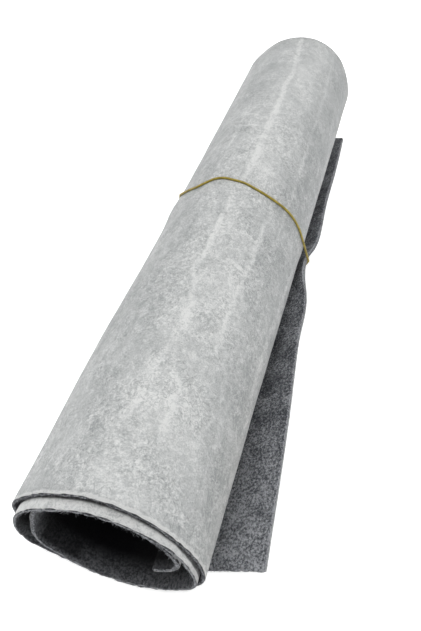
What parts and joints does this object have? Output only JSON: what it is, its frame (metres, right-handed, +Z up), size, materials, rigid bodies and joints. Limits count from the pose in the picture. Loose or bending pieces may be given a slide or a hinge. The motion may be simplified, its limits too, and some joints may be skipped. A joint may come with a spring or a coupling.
{
  "type": "roll of self-adhesive felt",
  "caption": "Length of dark felt with pale release paper on its back, loosely rolled paper side out with a loose outer end, and held at mid length by a thin rubber band.",
  "frame": {"origin": "on the floor under the middle of the bounding box", "axes": "+Z up; Y along the roll's axis, the end with the open hollow in view at -Y; the loose outer end of the sheet at +X"},
  "size_m": [0.1262, 0.457, 0.0964],
  "materials": {
    "felt": "dark grey heather, matt and fuzzy",
    "release_paper": "pale grey translucent paper with a silicone sheen, mottled",
    "rubber": "ochre, satin"
  },
  "bodies": {
    "root": {"felt_sheet": "felt", "release_paper": "release_paper", "rubber_band": "rubber"}
  },
  "joints": []
}
